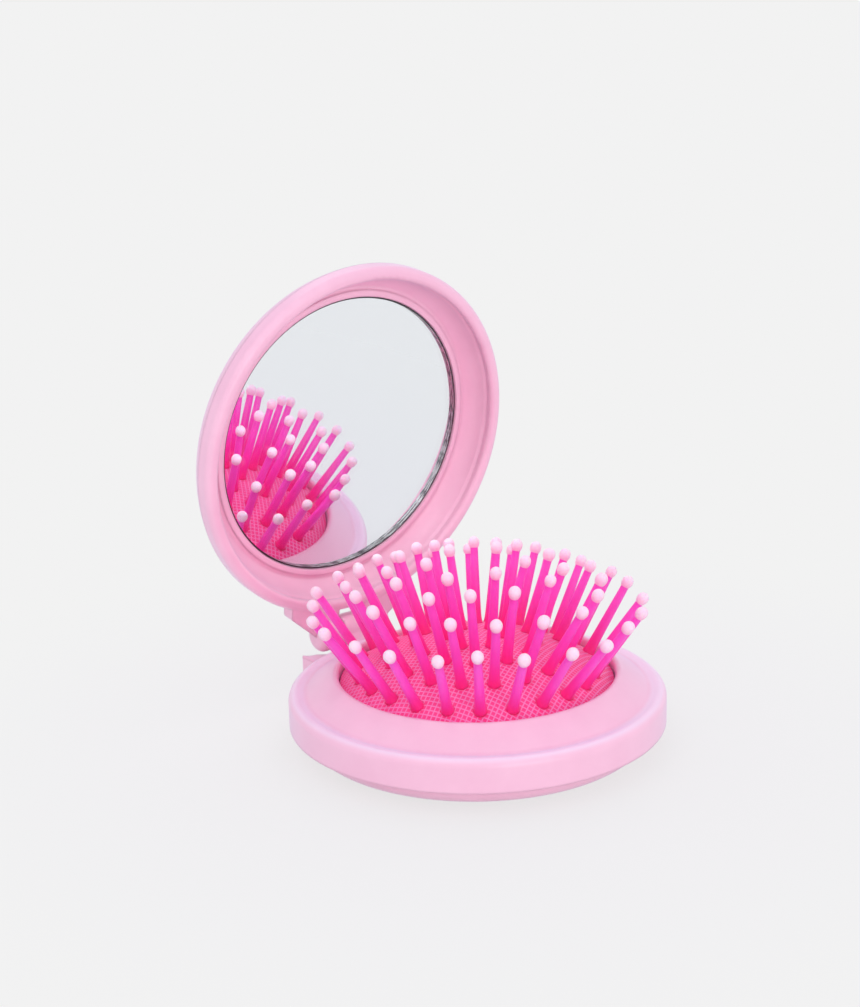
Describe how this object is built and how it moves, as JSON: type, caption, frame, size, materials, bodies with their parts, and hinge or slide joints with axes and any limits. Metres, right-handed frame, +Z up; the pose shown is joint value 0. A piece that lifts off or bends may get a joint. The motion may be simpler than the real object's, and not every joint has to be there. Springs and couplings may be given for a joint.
{
  "type": "folding hairbrush with mirror",
  "caption": "Round folding pocket brush: a domed cushion of ball-ended pins on a push-up plate in the base, and a hinged lid with a round mirror inside.",
  "frame": {"origin": "centre of the base on the plane of its foot ring", "axes": "+Z up out of the base, +Y towards the hinge, +X along the hinge axis to the right when the mirror is faced"},
  "size_m": [0.0656, 0.0758, 0.0799],
  "materials": {
    "shell": "satin pale pink",
    "plate": "satin pink",
    "cushion": "matte hot pink with a fine raised mesh",
    "pins": "glossy translucent magenta with pale ball ends",
    "steel": "drawn wire",
    "glass": "polished, ground edge",
    "silvering": "silvered",
    "tape": "white foam pad"
  },
  "bodies": {
    "base": {"base_shell": "shell", "back_cover": "shell", "hinge_pin": "steel"},
    "lid": {"lid_frame": "shell", "lid_back": "shell", "mirror_glass": "glass", "mirror_silvering": "silvering", "mirror_tape": "tape"},
    "plate": {"push_plate": "plate", "cushion": "cushion"},
    "pins_outer_1": {"pins_outer_1": "pins"},
    "pins_outer_2": {"pins_outer_2": "pins"},
    "pins_outer_3": {"pins_outer_3": "pins"},
    "pins_outer_4": {"pins_outer_4": "pins"},
    "pins_outer_5": {"pins_outer_5": "pins"},
    "pins_outer_6": {"pins_outer_6": "pins"},
    "pins_outer_7": {"pins_outer_7": "pins"},
    "pins_outer_8": {"pins_outer_8": "pins"},
    "pins_outer_9": {"pins_outer_9": "pins"},
    "pins_outer_10": {"pins_outer_10": "pins"},
    "pins_outer_11": {"pins_outer_11": "pins"},
    "pins_outer_12": {"pins_outer_12": "pins"},
    "pins_second_1": {"pins_second_1": "pins"},
    "pins_second_2": {"pins_second_2": "pins"},
    "pins_second_3": {"pins_second_3": "pins"},
    "pins_second_4": {"pins_second_4": "pins"},
    "pins_second_5": {"pins_second_5": "pins"},
    "pins_second_6": {"pins_second_6": "pins"},
    "pins_second_7": {"pins_second_7": "pins"},
    "pins_second_8": {"pins_second_8": "pins"},
    "pins_second_9": {"pins_second_9": "pins"},
    "pins_third_1": {"pins_third_1": "pins"},
    "pins_third_2": {"pins_third_2": "pins"},
    "pins_third_3": {"pins_third_3": "pins"},
    "pins_third_4": {"pins_third_4": "pins"},
    "pins_third_5": {"pins_third_5": "pins"},
    "pins_third_6": {"pins_third_6": "pins"},
    "pins_core": {"pins_core": "pins"}
  },
  "joints": [
    {"name": "lid_fold", "type": "hinge", "parent": "base", "child": "lid", "pos_m": [0, 0.03685, 0.0107], "axis": [-1, 0, 0], "range_deg": [-81, 0]},
    {"name": "plate_slide", "type": "slide", "parent": "base", "child": "plate", "axis": [0, 0, 1], "range_m": [-0.0082, 0], "deforming": ["cushion"]},
    {"name": "lean_outer_1", "type": "hinge", "parent": "plate", "child": "pins_outer_1", "pos_m": [0.02833, 0.00696, 0.01086], "axis": [-0.2385, 0.9711, 0], "range_deg": [-30, 0]},
    {"name": "lean_outer_2", "type": "hinge", "parent": "plate", "child": "pins_outer_2", "pos_m": [0.02106, 0.02019, 0.01086], "axis": [-0.6921, 0.7218, 0], "range_deg": [-30, 0]},
    {"name": "lean_outer_3", "type": "hinge", "parent": "plate", "child": "pins_outer_3", "pos_m": [0.00814, 0.02802, 0.01086], "axis": [-0.9603, 0.279, 0], "range_deg": [-30, 0]},
    {"name": "lean_outer_4", "type": "hinge", "parent": "plate", "child": "pins_outer_4", "pos_m": [-0.00696, 0.02833, 0.01086], "axis": [-0.9711, -0.2385, 0], "range_deg": [-30, 0]},
    {"name": "lean_outer_5", "type": "hinge", "parent": "plate", "child": "pins_outer_5", "pos_m": [-0.02019, 0.02106, 0.01086], "axis": [-0.7218, -0.6921, 0], "range_deg": [-30, 0]},
    {"name": "lean_outer_6", "type": "hinge", "parent": "plate", "child": "pins_outer_6", "pos_m": [-0.02802, 0.00814, 0.01086], "axis": [-0.279, -0.9603, 0], "range_deg": [-30, 0]},
    {"name": "lean_outer_7", "type": "hinge", "parent": "plate", "child": "pins_outer_7", "pos_m": [-0.02833, -0.00696, 0.01086], "axis": [0.2385, -0.9711, 0], "range_deg": [-30, 0]},
    {"name": "lean_outer_8", "type": "hinge", "parent": "plate", "child": "pins_outer_8", "pos_m": [-0.02106, -0.02019, 0.01086], "axis": [0.6921, -0.7218, 0], "range_deg": [-30, 0]},
    {"name": "lean_outer_9", "type": "hinge", "parent": "plate", "child": "pins_outer_9", "pos_m": [-0.00814, -0.02802, 0.01086], "axis": [0.9603, -0.279, 0], "range_deg": [-30, 0]},
    {"name": "lean_outer_10", "type": "hinge", "parent": "plate", "child": "pins_outer_10", "pos_m": [0.00696, -0.02833, 0.01086], "axis": [0.9711, 0.2385, 0], "range_deg": [-30, 0]},
    {"name": "lean_outer_11", "type": "hinge", "parent": "plate", "child": "pins_outer_11", "pos_m": [0.02019, -0.02106, 0.01086], "axis": [0.7218, 0.6921, 0], "range_deg": [-30, 0]},
    {"name": "lean_outer_12", "type": "hinge", "parent": "plate", "child": "pins_outer_12", "pos_m": [0.02802, -0.00814, 0.01086], "axis": [0.279, 0.9603, 0], "range_deg": [-30, 0]},
    {"name": "lean_second_1", "type": "hinge", "parent": "plate", "child": "pins_second_1", "pos_m": [0.0328, 0.00614, 0.0122], "axis": [-0.184, 0.9829, 0], "range_deg": [-22.78, 0]},
    {"name": "lean_second_2", "type": "hinge", "parent": "plate", "child": "pins_second_2", "pos_m": [0.02118, 0.02579, 0.0122], "axis": [-0.7727, 0.6347, 0], "range_deg": [-22.78, 0]},
    {"name": "lean_second_3", "type": "hinge", "parent": "plate", "child": "pins_second_3", "pos_m": [-0.00035, 0.03337, 0.0122], "axis": [-0.9999, -0.0105, 0], "range_deg": [-22.78, 0]},
    {"name": "lean_second_4", "type": "hinge", "parent": "plate", "child": "pins_second_4", "pos_m": [-0.02172, 0.02534, 0.0122], "axis": [-0.7593, -0.6508, 0], "range_deg": [-22.78, 0]},
    {"name": "lean_second_5", "type": "hinge", "parent": "plate", "child": "pins_second_5", "pos_m": [-0.03292, 0.00545, 0.0122], "axis": [-0.1633, -0.9866, 0], "range_deg": [-22.78, 0]},
    {"name": "lean_second_6", "type": "hinge", "parent": "plate", "child": "pins_second_6", "pos_m": [-0.02872, -0.01699, 0.0122], "axis": [0.509, -0.8607, 0], "range_deg": [-22.78, 0]},
    {"name": "lean_second_7", "type": "hinge", "parent": "plate", "child": "pins_second_7", "pos_m": [-0.01108, -0.03147, 0.0122], "axis": [0.9432, -0.3322, 0], "range_deg": [-22.78, 0]},
    {"name": "lean_second_8", "type": "hinge", "parent": "plate", "child": "pins_second_8", "pos_m": [0.01174, -0.03124, 0.0122], "axis": [0.9361, 0.3518, 0], "range_deg": [-22.78, 0]},
    {"name": "lean_second_9", "type": "hinge", "parent": "plate", "child": "pins_second_9", "pos_m": [0.02907, -0.01638, 0.0122], "axis": [0.4909, 0.8712, 0], "range_deg": [-22.78, 0]},
    {"name": "lean_third_1", "type": "hinge", "parent": "plate", "child": "pins_third_1", "pos_m": [0.03557, 0.02445, 0.01312], "axis": [-0.5664, 0.8241, 0], "range_deg": [-15.57, 0]},
    {"name": "lean_third_2", "type": "hinge", "parent": "plate", "child": "pins_third_2", "pos_m": [-0.00339, 0.04303, 0.01312], "axis": [-0.9969, -0.0785, 0], "range_deg": [-15.57, 0]},
    {"name": "lean_third_3", "type": "hinge", "parent": "plate", "child": "pins_third_3", "pos_m": [-0.03896, 0.01858, 0.01312], "axis": [-0.4305, -0.9026, 0], "range_deg": [-15.57, 0]},
    {"name": "lean_third_4", "type": "hinge", "parent": "plate", "child": "pins_third_4", "pos_m": [-0.03557, -0.02445, 0.01312], "axis": [0.5664, -0.8241, 0], "range_deg": [-15.57, 0]},
    {"name": "lean_third_5", "type": "hinge", "parent": "plate", "child": "pins_third_5", "pos_m": [0.00339, -0.04303, 0.01312], "axis": [0.9969, 0.0785, 0], "range_deg": [-15.57, 0]},
    {"name": "lean_third_6", "type": "hinge", "parent": "plate", "child": "pins_third_6", "pos_m": [0.03896, -0.01858, 0.01312], "axis": [0.4305, 0.9026, 0], "range_deg": [-15.57, 0]},
    {"name": "core_sink", "type": "slide", "parent": "plate", "child": "pins_core", "axis": [0, 0, 1], "range_m": [-0.00989, 0]}
  ],
  "couplings": [
    {"joint": "plate_slide", "follows": "lid_fold", "m_per_rad": 0.0058003},
    {"joint": "lean_outer_1", "follows": "lid_fold", "ratio": 0.37037},
    {"joint": "lean_outer_2", "follows": "lid_fold", "ratio": 0.37037},
    {"joint": "lean_outer_3", "follows": "lid_fold", "ratio": 0.37037},
    {"joint": "lean_outer_4", "follows": "lid_fold", "ratio": 0.37037},
    {"joint": "lean_outer_5", "follows": "lid_fold", "ratio": 0.37037},
    {"joint": "lean_outer_6", "follows": "lid_fold", "ratio": 0.37037},
    {"joint": "lean_outer_7", "follows": "lid_fold", "ratio": 0.37037},
    {"joint": "lean_outer_8", "follows": "lid_fold", "ratio": 0.37037},
    {"joint": "lean_outer_9", "follows": "lid_fold", "ratio": 0.37037},
    {"joint": "lean_outer_10", "follows": "lid_fold", "ratio": 0.37037},
    {"joint": "lean_outer_11", "follows": "lid_fold", "ratio": 0.37037},
    {"joint": "lean_outer_12", "follows": "lid_fold", "ratio": 0.37037},
    {"joint": "lean_second_1", "follows": "lid_fold", "ratio": 0.28127},
    {"joint": "lean_second_2", "follows": "lid_fold", "ratio": 0.28127},
    {"joint": "lean_second_3", "follows": "lid_fold", "ratio": 0.28127},
    {"joint": "lean_second_4", "follows": "lid_fold", "ratio": 0.28127},
    {"joint": "lean_second_5", "follows": "lid_fold", "ratio": 0.28127},
    {"joint": "lean_second_6", "follows": "lid_fold", "ratio": 0.28127},
    {"joint": "lean_second_7", "follows": "lid_fold", "ratio": 0.28127},
    {"joint": "lean_second_8", "follows": "lid_fold", "ratio": 0.28127},
    {"joint": "lean_second_9", "follows": "lid_fold", "ratio": 0.28127},
    {"joint": "lean_third_1", "follows": "lid_fold", "ratio": 0.19217},
    {"joint": "lean_third_2", "follows": "lid_fold", "ratio": 0.19217},
    {"joint": "lean_third_3", "follows": "lid_fold", "ratio": 0.19217},
    {"joint": "lean_third_4", "follows": "lid_fold", "ratio": 0.19217},
    {"joint": "lean_third_5", "follows": "lid_fold", "ratio": 0.19217},
    {"joint": "lean_third_6", "follows": "lid_fold", "ratio": 0.19217},
    {"joint": "core_sink", "follows": "lid_fold", "m_per_rad": 0.0069985}
  ]
}
